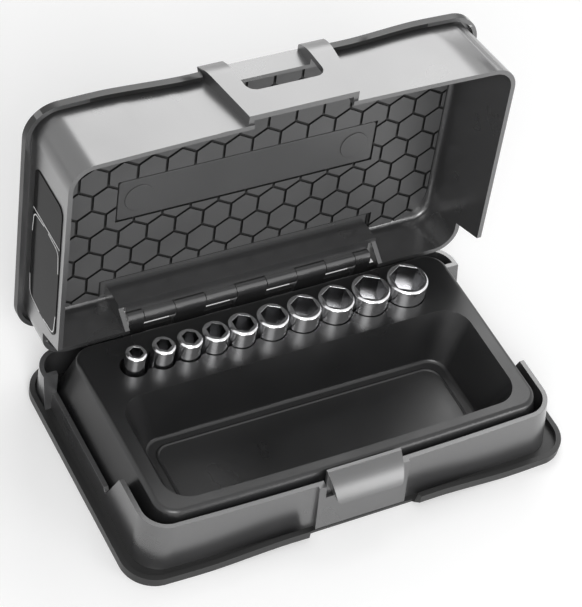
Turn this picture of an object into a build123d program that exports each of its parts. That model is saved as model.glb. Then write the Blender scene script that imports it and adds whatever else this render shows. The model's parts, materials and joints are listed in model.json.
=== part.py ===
"""Hinged carry case with a row of ten sockets, standing open as in use.

Millimetres, +X to the right, +Y to the back, +Z up, with the case standing on Z = 0. The lid and its
lining are drawn closed, where their sizes are easiest to read, and are then swung open about the pin.
"""
from build123d import *
import os
from math import sqrt

os.makedirs("parts", exist_ok=True)

# ---- base shell ---------------------------------------------------------------------------------
FLANGE_HALF_WIDTH = 100.0  # bumper flange round the foot of the base
FLANGE_FRONT = -55.0
FLANGE_REAR = 60.0
FLANGE_RADIUS = 14.0
FLANGE_HEIGHT = 4.0
FLANGE_WALL = 2.2
FRONT_BOW = 1.5  # how far every front face bows out in the middle
FLOOR = 1.5
SHELL_WALL = 2.0
GROOVE_WIDTH = 3.5  # between flange and tub, where the lid's edge comes down
TUB_DRAFT = 2.0  # how far the side walls lean in from floor to rim
TUB_DRAFT_FRONT = 3.0
TUB_RADIUS = 12.0
RIM_Z = 23.2  # high front part of the tub
SIDE_Z = 9.0  # low side walls
HOOK_Y = -11.0  # where the low side wall dips and then steps up to the rim
HOOK_DIP = 1.2
HOOK_LEAN = 7.5
REAR_Z = 17.0  # rear wall and corner wings
REAR_LEDGE = 3.0  # from the flange's rear edge to the rear face of base and closed lid
WING_CLEARANCE = 0.6  # between a wing and the slanted end of the lid's side wall

# ---- hinge --------------------------------------------------------------------------------------
HINGE_INSET = 1.5  # from the rear face to the pin
HINGE_Z = 24.5
KNUCKLE_RADIUS = 3.0
PIN_RADIUS = 1.25
PIN_FIT_BASE = 0.02
PIN_FIT_LID = 0.04
HINGE_LENGTH = 113.0
KNUCKLES = 9
KNUCKLE_LENGTH = 13.8  # a full one; the two end knuckles take what is left
KNUCKLE_GAP = 0.3
KNUCKLE_SWEEP = 0.45  # clearance round a knuckle where the other leaf passes
WEB_BASE_Z = 11.0
WEB_SHOULDER = 1.0  # below the pin's axis, where a web starts to narrow
PIN_CHAMFER = 0.3
OPEN_ANGLE = 95.0

# ---- lid ----------------------------------------------------------------------------------------
LID_EDGE_CLEARANCE = 0.7  # from the lid's edge to the flange and the floor
LID_TOP_Z = 40.5
LID_DRAFT = 1.2
LID_WALL = 2.0
LID_TOP_WALL = 2.0
LID_RADIUS = 11.0
LID_CEILING_RADIUS = 2.0
RAIL_SETBACK = 0.4  # of the bumper rail round the lid's top, inside the flange below
RAIL_SETBACK_FRONT = 1.2
RAIL_HEIGHT = 4.2
RAIL_WALL = 1.8
RAIL_PLATE = 1.6
RAIL_CHAMFER = 0.8
NOTCH_SETBACK = 14.0  # from the rear face to the slanted rear end of each side wall
TOOTH_REACH = 4.0  # how far that end slants forward on its way down
REAR_EDGE_CLEARANCE = 0.5  # above the base's rear wall
RECESS_END_GAP = 1.5  # the rear wall steps in round the hinge
RECESS_DEPTH = 8.4  # in front of the pin
RECESS_TOP_WALL = 4.5
LEAF_THICKNESS = 2.3
LEAF_LIFT = 0.7

# ---- catch --------------------------------------------------------------------------------------
PLATE_STAND = 2.5  # how far the lid's front plate stands out in front of the flange
PLATE_WALL = 2.4
PLATE_SIDE_GAP = 0.8  # from the apron to the plate's cheeks
PLATE_FLARE = 4.5
PLATE_EDGE_Z = 3.0
PLATE_SHOULDER_Z = 30.0
CHEEK_WALL = 2.2
WINDOW_SIDE_GAP = 0.3
WINDOW_BAR_Z = 16.8  # top of the bar that the wedge hooks over
WINDOW_RADIUS = 4.5
APRON_MARGIN = 3.8  # plain plate in the middle of the base's front, wider than the tongue
APRON_STAND = 2.0
APRON_LEAN = 3.8
APRON_WALL = 1.2
FLANGE_GAP_MARGIN = 0.7
TONGUE_WALL = 1.4
TONGUE_SETBACK = 0.4
TONGUE_GAP = 0.3
TONGUE_FOOT_Z = 3.4
TONGUE_TOP_Z = 29.0
TONGUE_HALF_WIDTH = 16.6
TONGUE_SIDE_GAP = 0.5
WEDGE_TIP_Z = 18.6
WEDGE_FLOOR_Z = 17.9
WEDGE_CROWN = 1.3
WEDGE_OVERLAP = 0.5  # how far the wedge reaches into the window
WEDGE_TAPER = 2.2  # how much narrower its tip is than the tongue, on each side
WEDGE_CORNER = 3.0

# ---- lid lining ---------------------------------------------------------------------------------
LINER_SHEET = 0.6
LINER_PAD = 0.9
LINER_MARGIN = 2.4
LINER_CORNER = 14.0
HEX_ACROSS = 11.4
HEX_GROOVE = 1.2
PANEL_LENGTH = 116.0
PANEL_WIDTH = 19.5
PANEL_THICKNESS = 0.7
PANEL_CORNER = 1.5
PANEL_GAP = 0.7
DISC_RADIUS = 6.4
DISC_THICKNESS = 0.5
DISC_INSET = 9.2  # from the panel's end to a disc's centre
LABEL_THICKNESS = 0.4
LABEL_LENGTH = 66.0
LABEL_HEIGHT = 27.5
LABEL_CORNER = 4.0

# ---- tray ---------------------------------------------------------------------------------------
TRAY_GAP = 0.6  # from the tray's foot to the tub
TRAY_GAP_REAR = 1.4
TRAY_BOW = 1.0
TRAY_RADIUS = 9.0
TRAY_TOP_Z = 26.8
TRAY_SKIN = 1.3
TRAY_FLARE_SIDE = 6.2  # how far the skirt spreads down to its foot
TRAY_FLARE_FRONT = 4.1
TRAY_FLARE_REAR = 7.6
TRAY_EDGE_RADIUS = 2.2
CAVITY_BORDER = 6.5  # level border beside the open cavity
CAVITY_BORDER_FRONT = 5.0
LEDGE_DEPTH = 30.5  # level ledge behind it, which holds the sockets
CAVITY_RADIUS = 11.0
CAVITY_FLOOR_Z = 4.6
CAVITY_SIDE_SLOPE = 9.5
CAVITY_FRONT_SLOPE = 6.0
CAVITY_REAR_SLOPE = 7.2
CAVITY_FLOOR_RADIUS = 8.0
CAVITY_EDGE_RADIUS = 1.8
SOCKET_ROW_SETBACK = 16.3  # from the ledge's rear edge to the row of pockets
POCKET_CLEARANCE = 0.4
POCKET_NECK = 3.2  # half width of the neck between neighbouring pockets

# ---- sockets: size across flats, diameter of the mouth, step to the next centre ------------------
SOCKETS = [
    (5.0, 8.6, 12.2),
    (5.5, 9.6, 11.6),
    (6.0, 10.4, 11.6),
    (7.0, 11.2, 12.2),
    (8.0, 12.3, 13.7),
    (9.0, 13.4, 14.5),
    (10.0, 14.3, 15.1),
    (11.0, 15.2, 16.4),
    (12.0, 16.4, 17.6),
    (13.0, 17.6, 0.0),
]
FIRST_SOCKET_X = -64.8
SOCKET_LENGTH = 22.0
SOCKET_TOP_Z = 35.5
DRIVE_END_SMALL = 10.8  # drive end of the narrow sockets
DRIVE_END_LARGE = 13.0  # drive end of the wide ones
DRIVE_END_LENGTH = 8.0
SHOULDER_LENGTH = 2.5
DRIVE_SQUARE = 6.4
DRIVE_DEPTH = 8.5
HEX_DEPTH = 11.5
HEX_CLEARANCE = 0.1
MOUTH_CHAMFER = 0.7
END_CHAMFER = 0.6

# ---- sizes that follow --------------------------------------------------------------------------
TUB_HALF_WIDTH = FLANGE_HALF_WIDTH - FLANGE_WALL - GROOVE_WIDTH
TUB_FRONT = FLANGE_FRONT + FLANGE_WALL + GROOVE_WIDTH
CASE_MIDDLE_Y = (FLANGE_FRONT + FLANGE_REAR) / 2
REAR_OUTER = FLANGE_REAR - REAR_LEDGE
HINGE_Y = REAR_OUTER - HINGE_INSET
LID_HALF_WIDTH = FLANGE_HALF_WIDTH - FLANGE_WALL - LID_EDGE_CLEARANCE
LID_FRONT = FLANGE_FRONT + FLANGE_WALL + LID_EDGE_CLEARANCE
LID_EDGE_Z = FLOOR + LID_EDGE_CLEARANCE
LID_REAR_EDGE_Z = REAR_Z + REAR_EDGE_CLEARANCE
CEILING_Z = LID_TOP_Z - LID_TOP_WALL
RAIL_HALF_WIDTH = FLANGE_HALF_WIDTH - RAIL_SETBACK
RAIL_FRONT = FLANGE_FRONT + RAIL_SETBACK_FRONT
RAIL_REAR = FLANGE_REAR - RAIL_SETBACK
NOTCH_Y = REAR_OUTER - NOTCH_SETBACK
TOOTH_Y = NOTCH_Y - TOOTH_REACH
RECESS_HALF_WIDTH = HINGE_LENGTH / 2 + RECESS_END_GAP
RECESS_Y = HINGE_Y - RECESS_DEPTH
SLANT = (NOTCH_Y - TOOTH_Y) / (LID_REAR_EDGE_Z - LID_EDGE_Z)
SLIT_Y = TOOTH_Y + WING_CLEARANCE - SLANT * LID_EDGE_Z  # front edge of a wing, carried down to Z = 0
WALL_FOOT_Y = TUB_FRONT - FRONT_BOW  # outer face of the front wall in the middle, at the floor
WINDOW_HALF_WIDTH = TONGUE_HALF_WIDTH + WINDOW_SIDE_GAP
WEDGE_TIP_HALF_WIDTH = TONGUE_HALF_WIDTH - WEDGE_TAPER
APRON_HALF_WIDTH = TONGUE_HALF_WIDTH + APRON_MARGIN
PLATE_HALF_WIDTH = APRON_HALF_WIDTH + PLATE_SIDE_GAP + CHEEK_WALL
PLATE_FRONT = FLANGE_FRONT - PLATE_STAND
PLATE_BACK = PLATE_FRONT + PLATE_WALL
APRON_FOOT_Y = WALL_FOOT_Y - APRON_STAND
PANEL_Z = CEILING_Z - LINER_SHEET
DISC_X = PANEL_LENGTH / 2 - DISC_INSET
LABEL_Z = (LID_EDGE_Z + LID_TOP_Z - RAIL_HEIGHT) / 2
TRAY_HALF_WIDTH = TUB_HALF_WIDTH - SHELL_WALL - TRAY_GAP - TRAY_FLARE_SIDE
TRAY_FRONT = TUB_FRONT + SHELL_WALL + TRAY_GAP + TRAY_FLARE_FRONT
TRAY_REAR = REAR_OUTER - SHELL_WALL - TRAY_GAP_REAR - TRAY_FLARE_REAR
CAVITY_HALF_WIDTH = TRAY_HALF_WIDTH - CAVITY_BORDER
CAVITY_FRONT = TRAY_FRONT + CAVITY_BORDER_FRONT
CAVITY_REAR = TRAY_REAR - LEDGE_DEPTH
SOCKET_ROW_Y = TRAY_REAR - SOCKET_ROW_SETBACK
SOCKET_SEAT_Z = SOCKET_TOP_Z - SOCKET_LENGTH
FAR = 300.0  # longer than the case, for cuts that run right through
SKIP = 1.0  # how far a cut starts outside the face it enters


def outline(half_width, front, rear, radius, bow=FRONT_BOW):
    """Rounded outline of the case seen from above, with a bowed front."""
    inner = half_width - radius
    with BuildLine() as edge:
        ThreePointArc((-inner, front), (0, front - bow), (inner, front))
        CenterArc((inner, front + radius), radius, -90, 90)
        Line((half_width, front + radius), (half_width, rear - radius))
        CenterArc((inner, rear - radius), radius, 0, 90)
        Line((inner, rear), (-inner, rear))
        CenterArc((-inner, rear - radius), radius, 90, 90)
        Line((-half_width, rear - radius), (-half_width, front + radius))
        CenterArc((-inner, front + radius), radius, 180, 90)
    return make_face(edge.edges(), mode=Mode.PRIVATE)


def polygon(*points):
    """Face with straight edges through the points."""
    with BuildLine() as edge:
        Polyline(*points, close=True)
    return make_face(edge.edges(), mode=Mode.PRIVATE)


def knuckles():
    """Centre and length along X of each knuckle, and whether the lid carries it."""
    end = (HINGE_LENGTH - (KNUCKLES - 2) * KNUCKLE_LENGTH - (KNUCKLES - 1) * KNUCKLE_GAP) / 2
    left = -HINGE_LENGTH / 2
    row = []
    for index in range(KNUCKLES):
        length = end if index in (0, KNUCKLES - 1) else KNUCKLE_LENGTH
        row.append((left + length / 2, length, index % 2 == 1))
        left += length + KNUCKLE_GAP
    return row


def socket_row():
    """Centre along X, size across flats and mouth diameter of each socket."""
    x = FIRST_SOCKET_X
    row = []
    for across, mouth, step in SOCKETS:
        row.append((x, across, mouth))
        x += step
    return row


def pocket_radius(mouth):
    """Inside of the tray's pocket for a socket."""
    return max(mouth, DRIVE_END_SMALL) / 2 + POCKET_CLEARANCE


def wall_y(z):
    """Outer face of the tub's front wall in the middle of the case."""
    return WALL_FOOT_Y + TUB_DRAFT_FRONT * (z - FLOOR) / (RIM_Z - FLOOR)


def apron_y(z):
    """Front face of the apron."""
    return APRON_FOOT_Y + APRON_LEAN * z / RIM_Z


def save(part, name):
    part.label = name
    export_step(part, f"parts/{name}.step")
    print(f"{name}: {part.volume / 1000:.2f} cm3 in {len(part.solids())} solid")


def save_open(part, name):
    """Saves a piece that is drawn closed, swung open about the hinge pin."""
    pin = Axis((0, HINGE_Y, HINGE_Z), (1, 0, 0))
    save(part.rotate(pin, -OPEN_ANGLE), name)


# ---- corner wings of the base, flush under the closed lid ----------------------------------------
with BuildPart() as wings:
    with BuildSketch(Plane.XY.offset(FLOOR / 2)):
        add(outline(LID_HALF_WIDTH, TUB_FRONT, REAR_OUTER, LID_RADIUS))
    extrude(amount=REAR_Z - FLOOR / 2)
    with BuildSketch(Plane.YZ):
        add(polygon((-FAR, 0), (SLIT_Y, 0), (SLIT_Y + SLANT * FAR, FAR), (-FAR, FAR)))
    extrude(amount=FAR, both=True, mode=Mode.SUBTRACT)

with BuildPart() as wing_hollows:
    with BuildSketch(Plane.XY.offset(FLOOR)):
        add(
            outline(
                LID_HALF_WIDTH - SHELL_WALL, TUB_FRONT, REAR_OUTER - SHELL_WALL, LID_RADIUS - SHELL_WALL
            )
        )
    extrude(amount=FAR)
    with BuildSketch(Plane.YZ):
        back = SLIT_Y + SHELL_WALL
        add(polygon((-FAR, 0), (back, 0), (back + SLANT * FAR, FAR), (back, 2 * FAR), (-FAR, 2 * FAR)))
    extrude(amount=FAR, both=True, mode=Mode.SUBTRACT)

with BuildPart() as tub_hollow:
    lean = (RIM_Z + SKIP - FLOOR) / (RIM_Z - FLOOR)
    wall_rear = REAR_OUTER - SHELL_WALL
    hollow_radius = TUB_RADIUS - SHELL_WALL
    with BuildSketch(Plane.XY.offset(FLOOR)):
        add(outline(TUB_HALF_WIDTH - SHELL_WALL, TUB_FRONT + SHELL_WALL, wall_rear, hollow_radius))
    with BuildSketch(Plane.XY.offset(RIM_Z + SKIP)):
        add(
            outline(
                TUB_HALF_WIDTH - SHELL_WALL - TUB_DRAFT * lean,
                TUB_FRONT + SHELL_WALL + TUB_DRAFT_FRONT * lean,
                wall_rear,
                hollow_radius,
            )
        )
    loft(ruled=True)

# ---- base shell ---------------------------------------------------------------------------------
with BuildPart() as base_shell:
    # floor with the bumper flange round it
    with BuildSketch():
        add(outline(FLANGE_HALF_WIDTH, FLANGE_FRONT, FLANGE_REAR, FLANGE_RADIUS))
    extrude(amount=FLANGE_HEIGHT)
    with BuildSketch(Plane.XY.offset(FLOOR)):
        add(
            outline(
                FLANGE_HALF_WIDTH - FLANGE_WALL,
                FLANGE_FRONT + FLANGE_WALL,
                FLANGE_REAR - FLANGE_WALL,
                FLANGE_RADIUS - FLANGE_WALL,
            )
        )
    extrude(amount=FLANGE_HEIGHT, mode=Mode.SUBTRACT)
    # drafted tub
    with BuildSketch(Plane.XY.offset(FLOOR)):
        add(outline(TUB_HALF_WIDTH, TUB_FRONT, REAR_OUTER, TUB_RADIUS))
    with BuildSketch(Plane.XY.offset(RIM_Z)):
        add(outline(TUB_HALF_WIDTH - TUB_DRAFT, TUB_FRONT + TUB_DRAFT_FRONT, REAR_OUTER, TUB_RADIUS))
    loft(ruled=True)
    add(wings.part)
    add(tub_hollow.part, mode=Mode.SUBTRACT)
    add(wing_hollows.part, mode=Mode.SUBTRACT)
    # low side walls with a hooked step up to the rim
    with BuildSketch(Plane.YZ):
        add(
            polygon(
                (FAR, RIM_Z + SKIP),
                (FAR, REAR_Z),
                (SLIT_Y + SLANT * REAR_Z, REAR_Z),
                (SLIT_Y + SLANT * SIDE_Z, SIDE_Z),
                (HOOK_Y + HOOK_DIP, SIDE_Z),
                (HOOK_Y, SIDE_Z - HOOK_DIP),
                (HOOK_Y - HOOK_DIP, SIDE_Z - HOOK_DIP),
                (HOOK_Y - HOOK_LEAN, RIM_Z + SKIP),
            )
        )
    extrude(amount=FAR, both=True, mode=Mode.SUBTRACT)
    # apron in the middle of the front, with a slot behind it for the tongue
    with BuildSketch(Plane.YZ):
        add(
            polygon(
                (apron_y(0), 0),
                (wall_y(FLOOR) + SHELL_WALL / 2, 0),
                (wall_y(RIM_Z) + SHELL_WALL / 2, RIM_Z),
                (apron_y(RIM_Z), RIM_Z),
            )
        )
    extrude(amount=APRON_HALF_WIDTH, both=True)
    slot_foot = TONGUE_FOOT_Z - TONGUE_GAP
    slot_step = WEDGE_FLOOR_Z - TONGUE_SIDE_GAP
    with BuildSketch(Plane.YZ):
        add(
            polygon(
                (apron_y(slot_foot) + APRON_WALL, slot_foot),
                (wall_y(RIM_Z) + SHELL_WALL + SKIP, slot_foot),
                (wall_y(RIM_Z) + SHELL_WALL + SKIP, RIM_Z + SKIP),
                (PLATE_FRONT, RIM_Z + SKIP),
                (PLATE_FRONT, slot_step),
                (apron_y(slot_step) + APRON_WALL, slot_step),
            )
        )
    extrude(amount=TONGUE_HALF_WIDTH + TONGUE_SIDE_GAP, both=True, mode=Mode.SUBTRACT)
    # gap in the flange, where the lid's front plate comes down
    with BuildSketch(Plane.XZ.offset(-APRON_FOOT_Y)):
        Rectangle(2 * (PLATE_HALF_WIDTH + FLANGE_GAP_MARGIN), 4 * FLANGE_HEIGHT)
    extrude(amount=APRON_FOOT_Y - PLATE_FRONT, mode=Mode.SUBTRACT)
    # hinge knuckles on webs from the rear wall
    for x, length, on_lid in knuckles():
        if not on_lid:
            with BuildSketch(Plane.YZ.offset(x - length / 2)):
                with Locations((HINGE_Y, HINGE_Z)):
                    Circle(KNUCKLE_RADIUS)
                add(
                    polygon(
                        (REAR_OUTER, WEB_BASE_Z),
                        (HINGE_Y + KNUCKLE_RADIUS, HINGE_Z - WEB_SHOULDER),
                        (HINGE_Y + KNUCKLE_RADIUS, HINGE_Z),
                        (HINGE_Y - KNUCKLE_RADIUS, HINGE_Z),
                        (HINGE_Y - KNUCKLE_RADIUS, HINGE_Z - WEB_SHOULDER),
                        (REAR_OUTER - SHELL_WALL, WEB_BASE_Z),
                    )
                )
            extrude(amount=length)
    with BuildSketch(Plane.YZ):
        with Locations((HINGE_Y, HINGE_Z)):
            Circle(PIN_RADIUS + PIN_FIT_BASE)
    extrude(amount=HINGE_LENGTH, both=True, mode=Mode.SUBTRACT)
save(base_shell.part, "base_shell")

# ---- latch tongue: a leaf in the wall's slot, with a wedge above the apron ------------------------
with BuildPart() as wedge:
    tip = (PLATE_BACK - WEDGE_OVERLAP, WEDGE_TIP_Z)
    crest = (wall_y(TONGUE_TOP_Z) + TONGUE_SETBACK + TONGUE_WALL / 2, TONGUE_TOP_Z)
    root = (wall_y(WEDGE_FLOOR_Z) + TONGUE_SETBACK + TONGUE_WALL / 2, WEDGE_FLOOR_Z)
    rise = sqrt((crest[0] - tip[0]) ** 2 + (crest[1] - tip[1]) ** 2)
    swell = (
        (crest[0] + tip[0]) / 2 - WEDGE_CROWN * (crest[1] - tip[1]) / rise,
        (crest[1] + tip[1]) / 2 + WEDGE_CROWN * (crest[0] - tip[0]) / rise,
    )
    with BuildSketch(Plane.YZ):
        with BuildLine():
            ThreePointArc(crest, swell, tip)
            Line(tip, root)
            Line(root, crest)
        make_face()
    extrude(amount=TONGUE_HALF_WIDTH, both=True)
    with BuildSketch(Plane.XZ) as wedge_front:
        add(
            polygon(
                (-WEDGE_TIP_HALF_WIDTH, WEDGE_FLOOR_Z),
                (WEDGE_TIP_HALF_WIDTH, WEDGE_FLOOR_Z),
                (TONGUE_HALF_WIDTH, TONGUE_TOP_Z),
                (-TONGUE_HALF_WIDTH, TONGUE_TOP_Z),
            )
        )
        fillet(wedge_front.vertices().group_by(Axis.Y)[0], WEDGE_CORNER)
    extrude(amount=FAR, both=True, mode=Mode.INTERSECT)

with BuildPart() as latch_tongue:
    leaf_foot = wall_y(TONGUE_FOOT_Z) + TONGUE_SETBACK
    leaf_top = wall_y(TONGUE_TOP_Z) + TONGUE_SETBACK
    with BuildSketch(Plane.YZ):
        add(
            polygon(
                (leaf_foot, TONGUE_FOOT_Z),
                (leaf_foot + TONGUE_WALL, TONGUE_FOOT_Z),
                (leaf_top + TONGUE_WALL, TONGUE_TOP_Z),
                (leaf_top, TONGUE_TOP_Z),
            )
        )
    extrude(amount=TONGUE_HALF_WIDTH, both=True)
    add(wedge.part)
save(latch_tongue.part, "latch_tongue")

# ---- hinge pin ----------------------------------------------------------------------------------
with BuildPart() as hinge_pin:
    with BuildSketch(Plane.YZ):
        with Locations((HINGE_Y, HINGE_Z)):
            Circle(PIN_RADIUS)
    extrude(amount=HINGE_LENGTH / 2, both=True)
    chamfer(hinge_pin.edges().filter_by(GeomType.CIRCLE), PIN_CHAMFER)
save(hinge_pin.part, "hinge_pin")

# ---- inside of the lid, which steps in behind the hinge ------------------------------------------
with BuildPart() as lid_hollow:
    inner_radius = LID_RADIUS - LID_WALL
    with BuildSketch(Plane.XY.offset(LID_EDGE_Z)):
        add(outline(LID_HALF_WIDTH - LID_WALL, LID_FRONT + LID_WALL, REAR_OUTER - LID_WALL, inner_radius))
    with BuildSketch(Plane.XY.offset(CEILING_Z)):
        add(
            outline(
                LID_HALF_WIDTH - LID_WALL - LID_DRAFT,
                LID_FRONT + LID_WALL + LID_DRAFT,
                REAR_OUTER - LID_WALL,
                inner_radius,
            )
        )
    loft(ruled=True)
    fillet(lid_hollow.faces().sort_by(Axis.Z)[-1].edges(), LID_CEILING_RADIUS)
    with BuildSketch():
        with Locations((0, RECESS_Y)):
            Rectangle(2 * (RECESS_HALF_WIDTH + LID_WALL), FAR, align=(Align.CENTER, Align.MIN))
    extrude(amount=FAR, mode=Mode.SUBTRACT)

with BuildPart() as rail_groove:
    with BuildSketch(Plane.XY.offset(LID_TOP_Z - RAIL_HEIGHT)):
        add(
            outline(
                RAIL_HALF_WIDTH - RAIL_WALL,
                RAIL_FRONT + RAIL_WALL,
                RAIL_REAR - RAIL_WALL,
                FLANGE_RADIUS - RAIL_WALL,
            )
        )
    extrude(amount=RAIL_HEIGHT - RAIL_PLATE)

# ---- lid shell ----------------------------------------------------------------------------------
with BuildPart() as front_plate:
    shoulder = (RAIL_FRONT - FRONT_BOW, LID_TOP_Z - RAIL_CHAMFER)
    with BuildSketch(Plane.YZ):
        with BuildLine():
            Line((PLATE_FRONT, PLATE_EDGE_Z), (PLATE_FRONT, PLATE_SHOULDER_Z))
            TangentArc((PLATE_FRONT, PLATE_SHOULDER_Z), shoulder, tangent=(0, 1))
            Polyline(
                shoulder,
                (LID_FRONT + LID_DRAFT + LID_WALL / 2, LID_TOP_Z - RAIL_CHAMFER),
                (LID_FRONT + LID_WALL / 2, PLATE_EDGE_Z),
                (PLATE_FRONT, PLATE_EDGE_Z),
            )
        make_face()
    extrude(amount=FAR, both=True)
    with BuildSketch(Plane.XZ):
        add(
            polygon(
                (-PLATE_HALF_WIDTH, 0),
                (PLATE_HALF_WIDTH, 0),
                (PLATE_HALF_WIDTH + PLATE_FLARE, LID_TOP_Z),
                (-PLATE_HALF_WIDTH - PLATE_FLARE, LID_TOP_Z),
            )
        )
    extrude(amount=FAR, both=True, mode=Mode.INTERSECT)

with BuildPart() as lid_shell:
    with BuildSketch(Plane.XY.offset(LID_TOP_Z - RAIL_HEIGHT)):
        add(outline(RAIL_HALF_WIDTH, RAIL_FRONT, RAIL_REAR, FLANGE_RADIUS))
    extrude(amount=RAIL_HEIGHT)
    chamfer(lid_shell.faces().sort_by(Axis.Z)[-1].edges(), RAIL_CHAMFER)
    add(rail_groove.part, mode=Mode.SUBTRACT)
    with BuildSketch(Plane.XY.offset(LID_EDGE_Z)):
        add(outline(LID_HALF_WIDTH, LID_FRONT, REAR_OUTER, LID_RADIUS))
    with BuildSketch(Plane.XY.offset(LID_TOP_Z)):
        add(outline(LID_HALF_WIDTH - LID_DRAFT, LID_FRONT + LID_DRAFT, REAR_OUTER, LID_RADIUS))
    loft(ruled=True)
    add(front_plate.part)
    add(lid_hollow.part, mode=Mode.SUBTRACT)
    # recess round the hinge, open to the rear and below
    with BuildSketch(Plane.XY.offset(LID_TOP_Z - RECESS_TOP_WALL)):
        with Locations((0, RECESS_Y + LID_WALL)):
            Rectangle(2 * RECESS_HALF_WIDTH, FAR, align=(Align.CENTER, Align.MIN))
    extrude(amount=-FAR, mode=Mode.SUBTRACT)
    # slanted rear ends of the side walls
    with BuildSketch(Plane.YZ):
        add(
            polygon(
                (TOOTH_Y - SLANT * LID_EDGE_Z, 0),
                (NOTCH_Y, LID_REAR_EDGE_Z),
                (FAR, LID_REAR_EDGE_Z),
                (FAR, 0),
            )
        )
    extrude(amount=FAR, both=True, mode=Mode.SUBTRACT)
    # lower edge of the recess, up to the hinge leaf
    leaf_z = HINGE_Z + LEAF_LIFT
    with BuildSketch(Plane.YZ):
        add(
            polygon(
                (RECESS_Y - SKIP, 0),
                (RECESS_Y - SKIP, leaf_z),
                (RECESS_Y + LID_WALL, leaf_z),
                (REAR_OUTER - LID_WALL, LID_REAR_EDGE_Z),
                (REAR_OUTER - LID_WALL, 0),
            )
        )
    extrude(amount=RECESS_HALF_WIDTH + LID_WALL, both=True, mode=Mode.SUBTRACT)
    # leaf and knuckles
    with BuildSketch(Plane.YZ):
        with Locations((HINGE_Y, leaf_z)):
            Rectangle(HINGE_Y - RECESS_Y - LID_WALL / 2, LEAF_THICKNESS, align=(Align.MAX, Align.MIN))
    extrude(amount=HINGE_LENGTH / 2, both=True)
    for x, length, on_lid in knuckles():
        with BuildSketch(Plane.YZ.offset(x - length / 2 - (0 if on_lid else KNUCKLE_GAP))):
            with Locations((HINGE_Y, HINGE_Z)):
                Circle(KNUCKLE_RADIUS + (0 if on_lid else KNUCKLE_SWEEP))
        if on_lid:
            extrude(amount=length)
        else:
            extrude(amount=length + 2 * KNUCKLE_GAP, mode=Mode.SUBTRACT)
    with BuildSketch(Plane.YZ):
        with Locations((HINGE_Y, HINGE_Z)):
            Circle(PIN_RADIUS + PIN_FIT_LID)
    extrude(amount=HINGE_LENGTH / 2, both=True, mode=Mode.SUBTRACT)
    # hollow between the front plate's cheeks
    flare = PLATE_FLARE / LID_TOP_Z
    cheek = PLATE_HALF_WIDTH - CHEEK_WALL
    with BuildSketch(Plane.XZ.offset(-PLATE_BACK)):
        add(
            polygon(
                (-cheek, 0),
                (cheek, 0),
                (cheek + flare * PLATE_SHOULDER_Z, PLATE_SHOULDER_Z),
                (-cheek - flare * PLATE_SHOULDER_Z, PLATE_SHOULDER_Z),
            )
        )
    extrude(amount=-(LID_FRONT + LID_WALL + SKIP - PLATE_BACK), mode=Mode.SUBTRACT)
    # window that the wedge hooks into, open at the top
    with BuildSketch(Plane.XZ.offset(FRONT_BOW - LID_FRONT - LID_DRAFT)) as window:
        add(
            polygon(
                (-WINDOW_HALF_WIDTH, WINDOW_BAR_Z),
                (WINDOW_HALF_WIDTH, WINDOW_BAR_Z),
                (WINDOW_HALF_WIDTH, FAR),
                (-WINDOW_HALF_WIDTH, FAR),
            )
        )
        fillet(window.vertices().group_by(Axis.Y)[0], WINDOW_RADIUS)
    extrude(amount=FAR, mode=Mode.SUBTRACT)
save_open(lid_shell.part, "lid_shell")

# ---- lining of the lid: sheet with raised hexagons ------------------------------------------------
with BuildPart() as lid_hex_liner:
    liner_half = LID_HALF_WIDTH - LID_WALL - LID_DRAFT - LINER_MARGIN
    liner_front = LID_FRONT + LID_WALL + LID_DRAFT + LINER_MARGIN
    liner_rear = REAR_OUTER - LID_WALL - LINER_MARGIN
    with BuildSketch(Plane.XY.offset(CEILING_Z)):
        add(outline(liner_half, liner_front, liner_rear, LINER_CORNER))
        with Locations((0, RECESS_Y - LINER_MARGIN)):
            Rectangle(
                2 * (RECESS_HALF_WIDTH + LID_WALL + LINER_MARGIN),
                FAR,
                align=(Align.CENTER, Align.MIN),
                mode=Mode.SUBTRACT,
            )
    extrude(amount=-LINER_SHEET)
    column = HEX_ACROSS + HEX_GROOVE
    line = column * sqrt(3) / 2
    columns = int(liner_half / column) + 1
    lines = int(-liner_front / line) + 1
    hex_centres = [
        (column * (i + (j % 2) / 2), line * j)
        for j in range(-lines, lines + 1)
        for i in range(-columns, columns + 1)
    ]
    with BuildSketch(Plane.XY.offset(PANEL_Z)):
        with Locations(*hex_centres):
            RegularPolygon(HEX_ACROSS / 2, 6, major_radius=False, rotation=30)
        add(
            outline(liner_half - HEX_GROOVE, liner_front + HEX_GROOVE, liner_rear, LINER_CORNER),
            mode=Mode.INTERSECT,
        )
        with Locations((0, CASE_MIDDLE_Y)):
            Rectangle(PANEL_LENGTH + 2 * PANEL_GAP, PANEL_WIDTH + 2 * PANEL_GAP, mode=Mode.SUBTRACT)
        with Locations((0, RECESS_Y - LINER_MARGIN - HEX_GROOVE)):
            Rectangle(
                2 * (RECESS_HALF_WIDTH + LID_WALL + LINER_MARGIN + HEX_GROOVE),
                FAR,
                align=(Align.CENTER, Align.MIN),
                mode=Mode.SUBTRACT,
            )
    extrude(amount=-LINER_PAD)
save_open(lid_hex_liner.part, "lid_hex_liner")

# ---- long panel let into the lining, with a disc at each end --------------------------------------
with BuildPart() as lid_inlay_panel:
    with BuildSketch(Plane.XY.offset(PANEL_Z)):
        with Locations((0, CASE_MIDDLE_Y)):
            RectangleRounded(PANEL_LENGTH, PANEL_WIDTH, PANEL_CORNER)
    extrude(amount=-PANEL_THICKNESS)
save_open(lid_inlay_panel.part, "lid_inlay_panel")

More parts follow.
